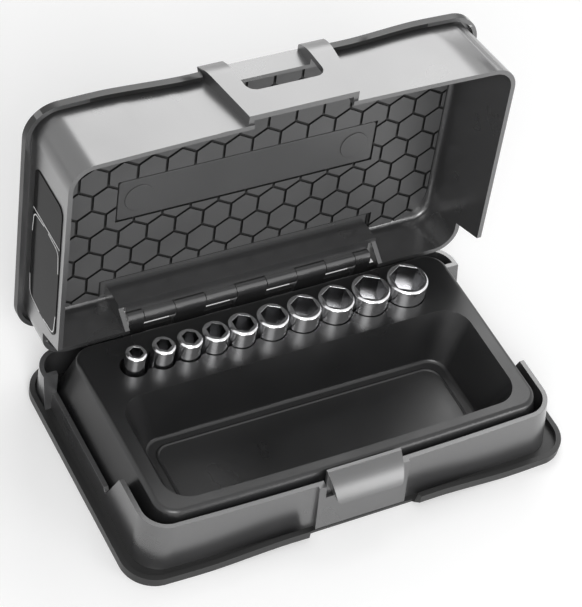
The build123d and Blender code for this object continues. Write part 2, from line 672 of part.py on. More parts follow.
for side, name in ((-1, "lid_disc_left"), (1, "lid_disc_right")):
    with BuildPart() as disc:
        with BuildSketch(Plane.XY.offset(PANEL_Z - PANEL_THICKNESS)):
            with Locations((side * DISC_X, CASE_MIDDLE_Y)):
                Circle(DISC_RADIUS)
        extrude(amount=-DISC_THICKNESS)
    save_open(disc.part, name)

# ---- blank label on the outside of the lid's left wall --------------------------------------------
with BuildPart() as lid_side_label:
    wall_height = LID_TOP_Z - LID_EDGE_Z
    label_x = LID_DRAFT * (LABEL_Z - LID_EDGE_Z) / wall_height - LID_HALF_WIDTH
    outward = (-wall_height, 0, LID_DRAFT)
    label_centre = (label_x, CASE_MIDDLE_Y, LABEL_Z)
    with BuildSketch(Plane(origin=label_centre, x_dir=(0, -1, 0), z_dir=outward)):
        RectangleRounded(LABEL_LENGTH, LABEL_HEIGHT, LABEL_CORNER)
    extrude(amount=LABEL_THICKNESS)
save_open(lid_side_label.part, "lid_side_label")


# ---- tray ---------------------------------------------------------------------------------------
def tray_block(skin):
    """Outside of the tray, made smaller by a skin all round."""
    with BuildPart() as block:
        with BuildSketch(Plane.XY.offset(FLOOR)):
            add(
                outline(
                    TRAY_HALF_WIDTH + TRAY_FLARE_SIDE - skin,
                    TRAY_FRONT - TRAY_FLARE_FRONT + skin,
                    TRAY_REAR + TRAY_FLARE_REAR - skin,
                    TRAY_RADIUS + TRAY_FLARE_FRONT - skin,
                    TRAY_BOW,
                )
            )
        with BuildSketch(Plane.XY.offset(TRAY_TOP_Z - skin)):
            add(
                outline(
                    TRAY_HALF_WIDTH - skin,
                    TRAY_FRONT + skin,
                    TRAY_REAR - skin,
                    TRAY_RADIUS - skin,
                    TRAY_BOW,
                )
            )
        loft(ruled=True)
        fillet(block.faces().sort_by(Axis.Z)[-1].edges(), TRAY_EDGE_RADIUS - skin / 2)
    return block.part


def cavity_block(skin):
    """Open cavity of the tray, made larger by a skin all round."""
    with BuildPart() as block:
        with BuildSketch(Plane.XY.offset(CAVITY_FLOOR_Z - skin)):
            add(
                outline(
                    CAVITY_HALF_WIDTH - CAVITY_SIDE_SLOPE + skin,
                    CAVITY_FRONT + CAVITY_FRONT_SLOPE - skin,
                    CAVITY_REAR - CAVITY_REAR_SLOPE + skin,
                    CAVITY_FLOOR_RADIUS + skin,
                    TRAY_BOW,
                )
            )
        with BuildSketch(Plane.XY.offset(TRAY_TOP_Z)):
            add(
                outline(
                    CAVITY_HALF_WIDTH + skin,
                    CAVITY_FRONT - skin,
                    CAVITY_REAR + skin,
                    CAVITY_RADIUS + skin,
                    TRAY_BOW,
                )
            )
        loft(ruled=True)
        fillet(block.faces().sort_by(Axis.Z)[0].edges(), CAVITY_EDGE_RADIUS + skin)
    return block.part


def pocket_block(skin):
    """Row of socket pockets joined by a neck, made larger by a skin all round."""
    row = socket_row()
    first = row[0][0]
    last = row[-1][0]
    with BuildPart() as block:
        with BuildSketch(Plane.XY.offset(SOCKET_SEAT_Z - skin)):
            for x, across, mouth in row:
                with Locations((x, SOCKET_ROW_Y)):
                    Circle(pocket_radius(mouth) + skin)
            with Locations(((first + last) / 2, SOCKET_ROW_Y)):
                Rectangle(last - first, 2 * (POCKET_NECK + skin))
        extrude(amount=TRAY_TOP_Z)
    return block.part


with BuildPart() as tray_underside:
    add(tray_block(TRAY_SKIN))
    add(cavity_block(TRAY_SKIN), mode=Mode.SUBTRACT)
    add(pocket_block(TRAY_SKIN), mode=Mode.SUBTRACT)

with BuildPart() as tray_insert:
    add(tray_block(0))
    add(tray_underside.part, mode=Mode.SUBTRACT)
    add(cavity_block(0), mode=Mode.SUBTRACT)
    add(pocket_block(0), mode=Mode.SUBTRACT)
save(tray_insert.part, "tray_insert")

# ---- sockets --------------------------------------------------------------------------------------
for x, across, mouth in socket_row():
    drive_end = min(max(mouth, DRIVE_END_SMALL), DRIVE_END_LARGE)
    shoulder_z = SOCKET_SEAT_Z + DRIVE_END_LENGTH
    with BuildPart() as socket:
        with BuildSketch(Plane.XZ.offset(-SOCKET_ROW_Y)):
            with Locations((x, 0)):
                add(
                    polygon(
                        (0, SOCKET_SEAT_Z),
                        (drive_end / 2 - END_CHAMFER, SOCKET_SEAT_Z),
                        (drive_end / 2, SOCKET_SEAT_Z + END_CHAMFER),
                        (drive_end / 2, shoulder_z),
                        (mouth / 2, shoulder_z + SHOULDER_LENGTH),
                        (mouth / 2, SOCKET_TOP_Z - MOUTH_CHAMFER),
                        (mouth / 2 - MOUTH_CHAMFER, SOCKET_TOP_Z),
                        (0, SOCKET_TOP_Z),
                    )
                )
        revolve(axis=Axis((x, SOCKET_ROW_Y, 0), (0, 0, 1)))
        with BuildSketch(Plane.XY.offset(SOCKET_TOP_Z)):
            with Locations((x, SOCKET_ROW_Y)):
                RegularPolygon((across + HEX_CLEARANCE) / 2, 6, major_radius=False, rotation=30)
        extrude(amount=-HEX_DEPTH, mode=Mode.SUBTRACT)
        with BuildSketch(Plane.XY.offset(SOCKET_SEAT_Z)):
            with Locations((x, SOCKET_ROW_Y)):
                Rectangle(DRIVE_SQUARE, DRIVE_SQUARE)
        extrude(amount=DRIVE_DEPTH, mode=Mode.SUBTRACT)
    size = f"{across:g}".replace(".", "_")
    save(socket.part, f"socket_{size}mm")
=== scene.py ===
"""Looks of a hinged plastic socket case, standing open on a pale floor.

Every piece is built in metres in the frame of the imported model: +X to the right along the hinge,
+Y from the catch to the hinge, +Z up. Some of the lid's pieces are drawn or changed with the lid
closed, where its sizes are easiest to read, and are then swung open about the hinge pin.
"""

import json
import math

import bmesh
import bpy
from bpy.props import FloatProperty, FloatVectorProperty, PointerProperty
from mathutils import Matrix, Vector


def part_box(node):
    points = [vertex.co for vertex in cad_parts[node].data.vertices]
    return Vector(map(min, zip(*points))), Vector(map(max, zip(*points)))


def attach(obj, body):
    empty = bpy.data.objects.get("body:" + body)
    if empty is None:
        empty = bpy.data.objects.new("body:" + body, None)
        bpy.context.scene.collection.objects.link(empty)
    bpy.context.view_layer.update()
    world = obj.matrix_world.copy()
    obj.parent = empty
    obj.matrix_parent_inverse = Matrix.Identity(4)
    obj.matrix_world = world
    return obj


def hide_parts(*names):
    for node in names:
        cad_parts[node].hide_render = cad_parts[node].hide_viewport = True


bl_info = {
    "name": "Socket case",
    "version": (1, 0, 0),
    "blender": (4, 5, 0),
    "location": "3D View > Sidebar > Socket case",
    "description": "Builds the looks of a hinged socket case round its packed model",
    "category": "Object",
}

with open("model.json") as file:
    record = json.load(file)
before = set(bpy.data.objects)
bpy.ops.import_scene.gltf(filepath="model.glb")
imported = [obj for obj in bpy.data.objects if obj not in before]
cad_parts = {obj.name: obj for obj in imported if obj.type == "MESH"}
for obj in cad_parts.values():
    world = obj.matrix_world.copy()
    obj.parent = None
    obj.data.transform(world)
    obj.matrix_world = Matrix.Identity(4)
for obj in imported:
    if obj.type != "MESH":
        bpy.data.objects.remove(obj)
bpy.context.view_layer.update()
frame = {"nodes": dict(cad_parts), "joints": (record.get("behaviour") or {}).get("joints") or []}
MM = 0.001

SHELL_NODES = {"base_shell": "base", "lid_shell": "lid", "latch_tongue": "latch"}
PANEL_NODES = ("lid_inlay_panel", "lid_disc_left", "lid_disc_right")
SOCKET_SIZES = (5, 5.5, 6, 7, 8, 9, 10, 11, 12, 13)

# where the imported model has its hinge, walls, rail and flange, with the lid closed
HINGE = next(Vector(j["pos_m"]) for j in frame["joints"] if j["name"] == "lid_hinge")
OPEN_ANGLE = math.radians(95)
LID_HALF_WIDTH = 97.1 * MM
LID_EDGE_Z = 2.2 * MM
LID_TOP_Z = 40.5 * MM
LID_DRAFT = 1.2 * MM
LID_FRONT_TOP = -51.7 * MM
LID_REAR_TOP = 56.2 * MM
RAIL_Z = 36.25 * MM
PLATE_HALF_WIDTH = 23.4 * MM
PLATE_TOP_HALF_WIDTH = 28.2 * MM
FLANGE_TOP_Z = 4.05 * MM
FLANGE_GROOVE_Z = 1.6 * MM
FLANGE_OUTSIDE = -54 * MM
FLANGE_INSIDE = -52.2 * MM
FRONT_BOW = 1.5 * MM
FRONT_HALF_WIDTH = 86 * MM

# the wave in the flange and the rail: from where it starts to where it is full, and to the catch
WAVE_START = 74 * MM
WAVE_FULL = 32 * MM
WAVE_END = 22.5 * MM
WAVE_CUTS = (28.4, 33, 38, 43, 48, 53, 58, 63, 68, 74)
CATCH_CLEARANCE = 1 * MM
CATCH_REACH = 26 * MM
RAIL_LIMIT = -50.4 * MM
RAIL_BEND = -47 * MM
FLANGE_LIMIT = -51.6 * MM
FLANGE_BEND = -51 * MM

# below a hexagon's face, from where the lining counts as groove and is painted near-black as shade
SHADED_GROOVE_DEPTH = 0.45 * MM

# sockets: how much of a size counts as its bore, painted darker as shade, and how a mouth's outer
# edge is found and rounded
SHADED_BORE_REACH = 1.16
RIM_SHARE = 0.08
RIM_WIDTH = 0.9 * MM
RIM_HEIGHT = 0.01 * MM
RIM_SHARPNESS = math.radians(20)

# the camera: degrees round, above and turned, and its place
CAMERA_ANGLES = (-36.453, 46.556, 12.995)
CAMERA_EYE = (-386.03, -498.22, 732.62)

# the label's face and the floor of the tray's cavity
LABEL_PROUD = 0.4 * MM
FLOOR_HALF_WIDTH = 69.5 * MM
FLOOR_FRONT = -31.6 * MM
FLOOR_REAR = 8.3 * MM
FLOOR_Z = 4.6 * MM
FLOOR_RADIUS = 8 * MM


# ---- sizes and colours that a user would change ---------------------------------------------
def colour(name, description, default):
    return FloatVectorProperty(
        name=name, description=description, subtype="COLOR", size=3, min=0, max=1, default=default
    )


def length(name, description, millimetres):
    return FloatProperty(
        name=name,
        description=description,
        unit="LENGTH",
        min=0,
        precision=5,
        default=millimetres * MM,
    )


def factor(name, description, default, highest=1.0):
    return FloatProperty(
        name=name, description=description, subtype="FACTOR", min=0, max=highest, default=default
    )


class ShellSettings(bpy.types.PropertyGroup):
    edge: length("Edge radius", "Rounding of the moulded edges", 0.3)
    colour: colour("Plastic", "Colour of the base, lid and catch", (0.05, 0.05, 0.051))
    wave: length("Wave", "How far the flange rises and the rail dips beside the catch", 3.0)
    # the flange and the rail: a darker copy of the same plastic, as painted shade
    bumper_shade_colour: colour("Bumper", "Colour of the flange and the rail", (0.012, 0.012, 0.012))
    roughness: factor("Roughness", "Roughness of the moulded plastic", 0.3)


class TraySettings(bpy.types.PropertyGroup):
    edge: length("Edge radius", "Rounding of the pockets' edges", 0.35)
    ridge_inset: length("Ridge inset", "From the foot of the cavity's walls to the ridge", 4.0)
    ridge_width: length("Ridge width", "Width of the low ridge round the cavity's floor", 1.5)
    ridge_height: length("Ridge height", "Height of that ridge", 0.4)
    colour: colour("Sheet", "Colour of the thermoformed tray", (0.012, 0.012, 0.0125))
    roughness: factor("Roughness", "Roughness of the tray", 0.31)


class LiningSettings(bpy.types.PropertyGroup):
    edge: length("Edge radius", "Rounding of the raised hexagons", 0.5)
    colour: colour("Lining", "Colour of the raised hexagons", (0.085, 0.085, 0.086))
    # the grooves: a near-black copy of the lining, as painted shade between the hexagons
    groove_shade_colour: colour("Grooves", "Colour between the hexagons", (0.006, 0.006, 0.006))
    panel_colour: colour("Panel", "Colour of the long panel in the lining", (0.075, 0.075, 0.076))
    roughness: factor("Roughness", "Roughness of the lining", 0.38)


class LabelSettings(bpy.types.PropertyGroup):
    colour: colour("Label", "Colour of the glossy label on the lid's side", (0.004, 0.004, 0.004))
    ink: colour("Ink", "Colour of the lines printed on the label", (0.75, 0.75, 0.75))
    line: length("Line width", "Width of the printed lines", 0.55)


class SocketSettings(bpy.types.PropertyGroup):
    edge: length("Edge radius", "Rounding of a socket's edges", 0.14)
    rim: length("Rim radius", "Rounding of the outer edge of a socket's mouth", 0.55)
    colour: colour("Chrome", "Colour of the chrome plate", (0.86, 0.86, 0.87))
    # the walls inside the hexagon: a darker copy of the chrome, as painted shade in the recess
    bore: colour("Bore", "Colour of the metal inside the hexagon", (0.24, 0.24, 0.245))
    roughness: factor("Roughness", "Roughness of the chrome plate", 0.2)


class StageSettings(bpy.types.PropertyGroup):
    floor: colour("Floor", "Colour of the floor", (0.9, 0.9, 0.9))
    floor_lift: factor("Floor lift", "Brightness added to the floor as it is seen", 0.14)
    daylight: factor("Daylight", "Brightness of the surroundings", 0.42, 2.0)
    key_light: FloatProperty(
        name="Key light", description="Power of the main lamp", unit="POWER", default=7
    )
    lens: FloatProperty(
        name="Lens", description="Focal length of the camera", unit="CAMERA", default=139.31
    )


SETTINGS = {
    "case_shell": ShellSettings,
    "case_tray": TraySettings,
    "case_lining": LiningSettings,
    "case_label": LabelSettings,
    "case_sockets": SocketSettings,
    "case_stage": StageSettings,
}


# ---- meshes ---------------------------------------------------------------------------------
def merged_copy(*nodes):
    """The CAD nodes' loose triangles as one clean mesh with its flat faces joined."""
    shape = bmesh.new()
    for node in nodes:
        shape.from_mesh(frame["nodes"][node].data)
    bmesh.ops.remove_doubles(shape, verts=shape.verts, dist=2e-6)
    bmesh.ops.dissolve_limit(
        shape, angle_limit=math.radians(0.4), verts=shape.verts, edges=shape.edges, delimit=set()
    )
    return shape


def round_edges(shape, radius, segments=2, sharper_than=28):
    """Rounds every edge sharper than an angle in degrees."""
    limit = math.radians(sharper_than)
    sharp = [edge for edge in shape.edges if edge.is_manifold and edge.calc_face_angle(0) > limit]
    bevel_edges(shape, sharp, radius, segments)


def bevel_edges(shape, edges, radius, segments):
    """Rounds the given edges."""
    bmesh.ops.bevel(
        shape,
        geom=edges,
        offset=radius,
        offset_type="OFFSET",
        affect="EDGES",
        segments=segments,
        profile=0.5,
        material=-1,
        clamp_overlap=True,
    )


def front_bow(point):
    """How far the case's front faces bow out at a point, beside its corners."""
    return FRONT_BOW * max(0, 1 - (point.x / FRONT_HALF_WIDTH) ** 2)


def sweep_front(shape, limit, bend, rise, moves):
    """Bends a front edge up or down in a soft wave on both sides of the catch.

    Only points in front of limit go along, if moves says so. The faces behind the edge are cut
    at bend, so that nothing further back changes.
    """
    cuts = [(Vector((0, bend, 0)), Vector((0, 1, 0)))]
    for x in WAVE_CUTS:
        for side in (-1, 1):
            cuts.append((Vector((side * x * MM, 0, 0)), Vector((1, 0, 0))))
    for place, normal in cuts:
        faces = [f for f in shape.faces if min(v.co.y for v in f.verts) < bend + 1 * MM]
        edges = {e for f in faces for e in f.edges}
        verts = {v for f in faces for v in f.verts}
        bmesh.ops.bisect_plane(
            shape, geom=[*verts, *edges, *faces], dist=1e-7, plane_co=place, plane_no=normal
        )
    for vert in shape.verts:
        beside = abs(vert.co.x)
        if not WAVE_END - 0.1 * MM < beside < WAVE_START:
            continue
        if vert.co.y + front_bow(vert.co) < limit and moves(vert.co):
            share = min(1, (WAVE_START - beside) / (WAVE_START - WAVE_FULL))
            vert.co.z += rise * share * share * (3 - 2 * share)
            if beside < CATCH_REACH:
                vert.co.x += math.copysign(CATCH_CLEARANCE, vert.co.x)
    shape.normal_update()


def swing_open(shape, closing=False):
    """Turns a piece of the closed lid about the hinge pin to where the lid stands, or back."""
    angle = OPEN_ANGLE if closing else -OPEN_ANGLE
    bmesh.ops.rotate(shape, verts=shape.verts, cent=HINGE, matrix=Matrix.Rotation(angle, 3, "X"))
    shape.normal_update()


def add_piece(shape, name, body, materials, stands_for=(), sharper_than=35):
    """Makes a mesh an object that rides on a body and stands for CAD nodes."""
    limit = math.radians(sharper_than)
    for face in shape.faces:
        face.smooth = True
    for edge in shape.edges:
        edge.smooth = edge.is_manifold and edge.calc_face_angle(0) < limit
    mesh = bpy.data.meshes.new(name)
    shape.to_mesh(mesh)
    shape.free()
    for material in materials:
        mesh.materials.append(material)
    piece = bpy.data.objects.new(name, mesh)
    bpy.context.scene.collection.objects.link(piece)
    shading = piece.modifiers.new("even_shading", "WEIGHTED_NORMAL")
    shading.keep_sharp = True
    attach(piece, body)
    if stands_for:
        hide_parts(*stands_for)
    return piece


def rounded_loop(half_width, front, rear, radius, steps=8):
    """Points of a rounded rectangle, seen from above, anticlockwise."""
    points = []
    corners = (
        (half_width - radius, front + radius, -90),
        (half_width - radius, rear - radius, 0),
        (radius - half_width, rear - radius, 90),
        (radius - half_width, front + radius, 180),
    )
    for x, y, start in corners:
        for step in range(steps + 1):
            angle = math.radians(start + 90 * step / steps)
            points.append((x + radius * math.cos(angle), y + radius * math.sin(angle)))
    return points


# ---- materials ------------------------------------------------------------------------------
def surface_group():
    """Node group with the fine grain and the slow unevenness of a moulded surface."""
    name = "moulded_surface"
    if name in bpy.data.node_groups:
        return bpy.data.node_groups[name]
    group = bpy.data.node_groups.new(name, "ShaderNodeTree")
    sockets = (
        ("Grain Scale", "INPUT", 4000.0),
        ("Cloud Scale", "INPUT", 30.0),
        ("Lowest", "INPUT", 0.3),
        ("Highest", "INPUT", 0.4),
        ("Roughness", "OUTPUT", 0.0),
        ("Height", "OUTPUT", 0.0),
        ("Clouds", "OUTPUT", 0.0),
    )
    for label, direction, value in sockets:
        socket = group.interface.new_socket(label, in_out=direction, socket_type="NodeSocketFloat")
        if direction == "INPUT":
            socket.default_value = value
    node = group.nodes.new
    link = group.links.new
    inside = node("NodeGroupInput")
    outside = node("NodeGroupOutput")
    place = node("ShaderNodeTexCoord")
    grain = node("ShaderNodeTexNoise")
    grain.inputs["Detail"].default_value = 2
    clouds = node("ShaderNodeTexNoise")
    clouds.inputs["Detail"].default_value = 3
    spread = node("ShaderNodeMapRange")
    spread.inputs["From Min"].default_value = 0.3
    spread.inputs["From Max"].default_value = 0.7
    link(place.outputs["Object"], grain.inputs["Vector"])
    link(place.outputs["Object"], clouds.inputs["Vector"])
    link(inside.outputs["Grain Scale"], grain.inputs["Scale"])
    link(inside.outputs["Cloud Scale"], clouds.inputs["Scale"])
    link(clouds.outputs["Fac"], spread.inputs["Value"])
    link(inside.outputs["Lowest"], spread.inputs["To Min"])
    link(inside.outputs["Highest"], spread.inputs["To Max"])
    link(spread.outputs["Result"], outside.inputs["Roughness"])
    link(grain.outputs["Fac"], outside.inputs["Height"])
    link(clouds.outputs["Fac"], outside.inputs["Clouds"])
    return group


def surface_material(
    name,
    colour,
    roughness,
    spread=0.05,
    grain=4000,
    clouds=30,
    depth=0.02,
    shade=0.12,
    metallic=0.0,
    ior=1.5,
    coat=0.0,
):
    """Plastic, metal or ink whose colour, gloss and grain vary a little over the surface."""
    material = bpy.data.materials.new(name)
    material.use_nodes = True
    tree = material.node_tree
    link = tree.links.new
    shader = tree.nodes["Principled BSDF"]
    shader.inputs["Metallic"].default_value = metallic
    shader.inputs["IOR"].default_value = ior
    shader.inputs["Coat Weight"].default_value = coat
    shader.inputs["Coat Roughness"].default_value = 0.25
    surface = tree.nodes.new("ShaderNodeGroup")
    surface.node_tree = surface_group()
    surface.inputs["Grain Scale"].default_value = grain
    surface.inputs["Cloud Scale"].default_value = clouds
    surface.inputs["Lowest"].default_value = roughness - spread
    surface.inputs["Highest"].default_value = roughness + spread
    tint = tree.nodes.new("ShaderNodeMix")
    tint.data_type = "RGBA"
    dark = [c * (1 - shade) for c in colour]
    light = [min(1.0, c * (1 + shade)) for c in colour]
    tint.inputs["A"].default_value = (*dark, 1)
    tint.inputs["B"].default_value = (*light, 1)
    bump = tree.nodes.new("ShaderNodeBump")
    bump.inputs["Strength"].default_value = 0.35
    bump.inputs["Distance"].default_value = depth * MM
    link(surface.outputs["Clouds"], tint.inputs["Factor"])
    link(tint.outputs["Result"], shader.inputs["Base Color"])
    link(surface.outputs["Roughness"], shader.inputs["Roughness"])
    link(surface.outputs["Height"], bump.inputs["Height"])
    link(bump.outputs["Normal"], shader.inputs["Normal"])
    return material


def seen_directly(tree):
    """Output that is 1 for what the camera sees straight, in a reflection or through glass."""
    path = tree.nodes.new("ShaderNodeLightPath")
    found = path.outputs["Is Camera Ray"]
    for name in ("Is Glossy Ray", "Is Transmission Ray"):
        either = tree.nodes.new("ShaderNodeMath")
        either.operation = "MAXIMUM"
        tree.links.new(found, either.inputs[0])
        tree.links.new(path.outputs[name], either.inputs[1])
        found = either.outputs[0]
    return found


# ---- operators ------------------------------------------------------------------------------
class CASE_OT_shells(bpy.types.Operator):
    """Moulded base, lid and catch, with rounded edges and painted shade on the flange and the rail
    """

    bl_idname = "case.shells"
    bl_label = "Base, lid and catch"

    def execute(self, context):
        settings = context.scene.case_shell
        plastic = surface_material(
            "satin_black_plastic",
            settings.colour,
            settings.roughness,
            spread=0.04,
            ior=1.85,
            coat=1.0,
        )
        # darker copy of the shell plastic for the flange and the rail: painted shade
        bumper = surface_material(
            "bumper_painted_shade", settings.bumper_shade_colour, settings.roughness + 0.08
        )
        wave = settings.wave
        for node, body in SHELL_NODES.items():
            shape = merged_copy(node)
            if node == "lid_shell":
                swing_open(shape, closing=True)
                sweep_front(shape, RAIL_LIMIT, RAIL_BEND, -wave, self.on_rail)
            elif node == "base_shell":
                sweep_front(shape, FLANGE_LIMIT, FLANGE_BEND, wave, self.on_flange)
            round_edges(shape, settings.edge)
            # faces of the flange and the rail get the painted shade
            for face in shape.faces:
                if node == "base_shell":
                    face.material_index = int(self.on_base_shaded_bumper(face, wave))
                elif node == "lid_shell":
                    face.material_index = int(self.on_lid_shaded_bumper(face, wave))
            if node == "lid_shell":
                swing_open(shape)
            add_piece(shape, node + "_moulding", body, [plastic, bumper], [node])
        return {"FINISHED"}

    @staticmethod
    def on_rail(point):
        """Whether a point in front of the closed lid's wall belongs to its rail."""
        return point.z > RAIL_Z and abs(point.x) > PLATE_TOP_HALF_WIDTH

    @staticmethod
    def on_flange(point):
        """Whether a point in front of the tub's wall belongs to the flange's upright part."""
        upright = FLANGE_GROOVE_Z < point.z < FLANGE_TOP_Z + 0.05 * MM
        return upright or (point.z < 0.1 * MM and point.y < FLANGE_OUTSIDE)

    @staticmethod
    def on_base_shaded_bumper(face, wave):
        """Whether a face of the base is low enough to belong to the flange, wave included, and
        takes the painted shade.
        """
        middle = face.calc_center_median()
        in_front = middle.y + front_bow(middle) < FLANGE_INSIDE and abs(middle.x) > WAVE_END
        highest = max(vert.co.z for vert in face.verts)
        return highest < FLANGE_TOP_Z or (in_front and middle.z < FLANGE_TOP_Z + wave)

    @classmethod
    def on_lid_shaded_bumper(cls, face, wave):
        """Whether a face of the closed lid belongs to the rail, but not to the level top, and takes
        the painted shade.
        """
        middle = face.calc_center_median()
        beside_top = middle.z > RAIL_Z - wave and face.normal.z < 0.9
        return beside_top and cls.outside_lid_wall(middle)

    @staticmethod
    def outside_lid_wall(point):
        """Whether a point by the closed lid's top lies outside its walls, where the rail is."""
        beside = abs(point.x) > LID_HALF_WIDTH - LID_DRAFT
        before = point.y + front_bow(point) < LID_FRONT_TOP and abs(point.x) > PLATE_HALF_WIDTH
        return beside or before or point.y > LID_REAR_TOP


class CASE_OT_hinge_pin(bpy.types.Operator):
    """Steel wire through the hinge's knuckles"""

    bl_idname = "case.hinge_pin"
    bl_label = "Hinge pin"

    def execute(self, context):
        steel = surface_material(
            "plain_steel_wire", (0.5, 0.5, 0.51), 0.3, grain=2500, metallic=1.0
        )
        pin = frame["nodes"]["hinge_pin"]
        pin.data.materials.clear()
        pin.data.materials.append(steel)
        return {"FINISHED"}


class CASE_OT_tray(bpy.types.Operator):
    """Thermoformed tray with its pockets, and the low ridge round the cavity's floor"""

    bl_idname = "case.tray"
    bl_label = "Tray"

    def execute(self, context):
        settings = context.scene.case_tray
        sheet = surface_material(
            "satin_black_sheet", settings.colour, settings.roughness, depth=0.05, ior=1.6
        )
        shape = merged_copy("tray_insert")
        round_edges(shape, settings.edge)
        add_piece(shape, "tray_sheet", "base", [sheet], ["tray_insert"])

        ridge = bmesh.new()
        rings = []
        half = settings.ridge_width / 2
        for across, height in ((-1, -0.2), (-0.5, 0.75), (0, 1), (0.5, 0.75), (1, -0.2)):
            inset = settings.ridge_inset + across * half
            loop = rounded_loop(
                FLOOR_HALF_WIDTH - inset,
                FLOOR_FRONT + inset,
                FLOOR_REAR - inset,
                FLOOR_RADIUS - inset / 2,
            )
            z = FLOOR_Z + height * settings.ridge_height
            verts = [ridge.verts.new((x, y, z)) for x, y in loop]
            rings.append([ridge.edges.new(pair) for pair in zip(verts, verts[1:] + verts[:1])])
        for outer, inner in zip(rings, rings[1:] + rings[:1]):
            bmesh.ops.bridge_loops(ridge, edges=outer + inner)
        bmesh.ops.recalc_face_normals(ridge, faces=ridge.faces)
        add_piece(ridge, "tray_floor_ridge", "base", [sheet], sharper_than=75)
        return {"FINISHED"}


class CASE_OT_lining(bpy.types.Operator):
    """Lid's lining of raised hexagons with painted shade in its grooves, and the long panel with
    its two discs
    """

    bl_idname = "case.lining"
    bl_label = "Lid lining"

    def execute(self, context):
        settings = context.scene.case_lining
        lining = surface_material(
            "embossed_lining", settings.colour, settings.roughness, depth=0.06
        )
        # near-black copy of the lining for its grooves: painted shade
        groove = surface_material(
            "lining_groove_painted_shade", settings.groove_shade_colour, settings.roughness + 0.2
        )
        shape = merged_copy("lid_hex_liner")
        round_edges(shape, settings.edge)
        inward = Matrix.Rotation(-OPEN_ANGLE, 3, "X") @ Vector((0, 0, -1))
        highest = max(vert.co.dot(inward) for vert in shape.verts)
        # faces deep in the grooves get the painted shade
        for face in shape.faces:
            if highest - face.calc_center_median().dot(inward) > SHADED_GROOVE_DEPTH:
                face.material_index = 1
        add_piece(shape, "lid_lining", "lid", [lining, groove], ["lid_hex_liner"])
        inlay = surface_material(
            "satin_inlay", settings.panel_colour, settings.roughness - 0.06, depth=0.03
        )
        for node in PANEL_NODES:
            shape = merged_copy(node)
            round_edges(shape, settings.edge / 2)
            add_piece(shape, node + "_inlay", "lid", [inlay], [node])
        return {"FINISHED"}


class CASE_OT_side_label(bpy.types.Operator):
    """Glossy label on the lid's left side, with its printed divider and corner lines"""

    bl_idname = "case.side_label"
    bl_label = "Side label"

    def execute(self, context):
        settings = context.scene.case_label
        gloss = surface_material(
            "glossy_label", settings.colour, 0.12, spread=0.02, depth=0.004, ior=1.12
        )
        shape = merged_copy("lid_side_label")
        round_edges(shape, 0.1 * MM)
        add_piece(shape, "side_label_film", "lid", [gloss], ["lid_side_label"])

        ink = surface_material("label_ink", settings.ink, 0.4, spread=0.03, depth=0.004, shade=0.03)
        half = settings.line / 2
        marks = bmesh.new()
        for line in self.lines():
            left = []
            right = []
            for index, point in enumerate(line):
                before = line[max(0, index - 1)]
                after = line[min(len(line) - 1, index + 1)]
                along = (Vector(after) - Vector(before)).normalized()
                side = Vector((-along.y, along.x)) * half
                left.append(marks.verts.new(self.on_label(Vector(point) + side)))
                right.append(marks.verts.new(self.on_label(Vector(point) - side)))
            edges = []
            for row in (left, right):
                edges.append([marks.edges.new(pair) for pair in zip(row, row[1:])])
            bmesh.ops.bridge_loops(marks, edges=edges[0] + edges[1])
        bmesh.ops.recalc_face_normals(marks, faces=marks.faces)
        for face in marks.faces:
            if face.normal.x > 0:
                face.normal_flip()
        swing_open(marks)
        add_piece(marks, "side_label_print", "lid", [ink])
        return {"FINISHED"}

    @staticmethod
    def on_label(point):
        """Point on the label's face, from Y and Z with the lid closed."""
        rise = (point.y - LID_EDGE_Z) / (LID_TOP_Z - LID_EDGE_Z)
        proud = LABEL_PROUD + 0.05 * MM
        return Vector((LID_DRAFT * rise - LID_HALF_WIDTH - proud, point.x, point.y))

    @staticmethod
    def lines():
        """Divider and four corner lines, as points of Y and Z with the lid closed."""
        divider = -10.5 * MM
        low, high = 6.6 * MM, 31.9 * MM
        near, far = -8.9 * MM, 34.4 * MM
        radius = 3.6 * MM
        arm = 7.0 * MM
        found = [[(divider, 5.8 * MM), (divider, 32.7 * MM)]]
        for y, z, start in ((near, low, 180), (far, low, 270), (far, high, 0), (near, high, 90)):
            inward_y = 1 if y == near else -1
            inward_z = 1 if z == low else -1
            centre = Vector((y + inward_y * radius, z + inward_z * radius))
            arc = []
            for step in range(9):
                angle = math.radians(start + 90 * step / 8)
                arc.append(centre + radius * Vector((math.cos(angle), math.sin(angle))))
            first = arc[0] + (arc[0] - arc[1]).normalized() * arm
            last = arc[-1] + (arc[-1] - arc[-2]).normalized() * arm
            found.append([tuple(p) for p in (first, *arc, last)])
        return found


